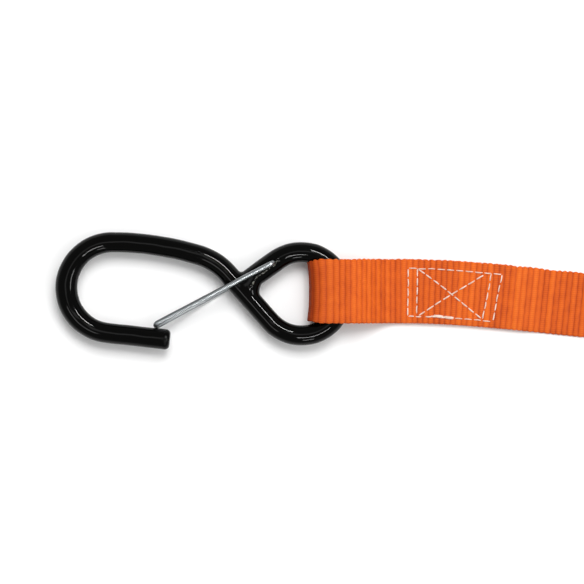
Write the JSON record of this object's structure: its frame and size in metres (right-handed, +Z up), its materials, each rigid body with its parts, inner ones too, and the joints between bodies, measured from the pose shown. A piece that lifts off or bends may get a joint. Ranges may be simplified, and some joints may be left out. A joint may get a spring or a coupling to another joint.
{
  "type": "ratchet tie down",
  "caption": "Webbing tie-down with vinyl-coated S-hooks, spring keepers, a ratchet buckle with a folding handle, and a folded long strap.",
  "frame": {"origin": "centre of the flat underside of the ratchet frame's base plate", "axes": "+X along the straps, from the fixed strap's hook to the long strap's hook; +Z up, out of the surface that the part lies on"},
  "size_m": [0.9104, 0.0576, 0.0364],
  "materials": {
    "coating": "wet-looking gloss vinyl dip",
    "hook_steel": "plain drawn rod",
    "spring_wire": "bright zinc-plated wire",
    "webbing": "woven polyester, ribbed across its width",
    "thread": "bonded polyester thread",
    "plated_steel": "zinc-plated pressed steel",
    "fastener": "zinc-plated",
    "grip": "fine moulded texture",
    "tie": "hook-and-loop tape"
  },
  "bodies": {
    "ratchet_frame": {"ratchet_frame": "plated_steel", "fixed_bolt": "fastener", "bolt_washer": "fastener", "lock_nut": "fastener", "bolt_sleeve": "fastener", "lock_pawl_spring_left": "spring_wire", "lock_pawl_spring_right": "spring_wire", "long_strap_run": "webbing", "long_strap_bundle": "webbing", "bundle_tie": "tie", "long_strap_lead": "webbing", "strap_loop_b": "webbing", "box_stitch_b": "thread"},
    "handle": {"handle": "plated_steel", "handle_grip": "grip", "drive_pawl_spring_left": "spring_wire", "drive_pawl_spring_right": "spring_wire"},
    "drive_pawl": {"drive_pawl": "plated_steel"},
    "lock_pawl": {"lock_pawl": "plated_steel"},
    "spool": {"mandrel_upper": "plated_steel", "mandrel_lower": "plated_steel", "ratchet_wheel_left": "plated_steel", "ratchet_wheel_right": "plated_steel", "axle_washers": "fastener", "cotter_pins": "spring_wire", "spool_wrap": "webbing"},
    "short_strap": {"strap_loop_a": "webbing", "short_strap": "webbing", "box_stitch_a": "thread", "strap_loop_bolt": "webbing", "box_stitch_bolt": "thread"},
    "hook_a": {"hook_rod_a": "hook_steel", "hook_vinyl_a": "coating"},
    "keeper_a": {"keeper_a": "spring_wire"},
    "hook_b": {"hook_rod_b": "hook_steel", "hook_vinyl_b": "coating"},
    "keeper_b": {"keeper_b": "spring_wire"}
  },
  "joints": [
    {"name": "handle_fold", "type": "hinge", "parent": "ratchet_frame", "child": "handle", "pos_m": [0.038, 0, 0.021], "axis": [0, 1, 0], "range_deg": [0, 180]},
    {"name": "spool_turn", "type": "hinge", "parent": "ratchet_frame", "child": "spool", "pos_m": [0.038, 0, 0.021], "axis": [0, 1, 0], "continuous": true},
    {"name": "drive_pawl_slide", "type": "slide", "parent": "handle", "child": "drive_pawl", "axis": [1, 0, 0], "range_m": [0, 0.0033], "stiffness_N_per_m": 120, "springref_m": 0.005},
    {"name": "lock_pawl_slide", "type": "slide", "parent": "ratchet_frame", "child": "lock_pawl", "axis": [0.866, 0, 0.5], "range_m": [0, 0.0033], "stiffness_N_per_m": 120, "springref_m": 0.005},
    {"name": "short_strap_swing", "type": "hinge", "parent": "ratchet_frame", "child": "short_strap", "pos_m": [-0.034, 0, 0.0085], "axis": [0, 1, 0], "range_deg": [-45, 10]},
    {"name": "hook_a_swing", "type": "hinge", "parent": "short_strap", "child": "hook_a", "pos_m": [-0.25955, 0.00753, 0.0062], "axis": [0, 1, 0], "range_deg": [-40, 40], "deforming": ["strap_loop_a"]},
    {"name": "keeper_a_open", "type": "hinge", "parent": "hook_a", "child": "keeper_a", "pos_m": [-0.28516, 0.0199, 0.0062], "axis": [0, 0, -1], "range_deg": [0, 26], "stiffness_Nm_per_rad": 0.02, "springref_deg": -8.59},
    {"name": "hook_b_swing", "type": "hinge", "parent": "ratchet_frame", "child": "hook_b", "pos_m": [0.42755, 0, 0.0062], "axis": [0, -1, 0], "range_deg": [-40, 40], "deforming": ["strap_loop_b"]},
    {"name": "keeper_b_open", "type": "hinge", "parent": "hook_b", "child": "keeper_b", "pos_m": [0.45316, -0.01237, 0.0062], "axis": [0, 0, -1], "range_deg": [0, 26], "stiffness_Nm_per_rad": 0.02, "springref_deg": -8.59}
  ]
}
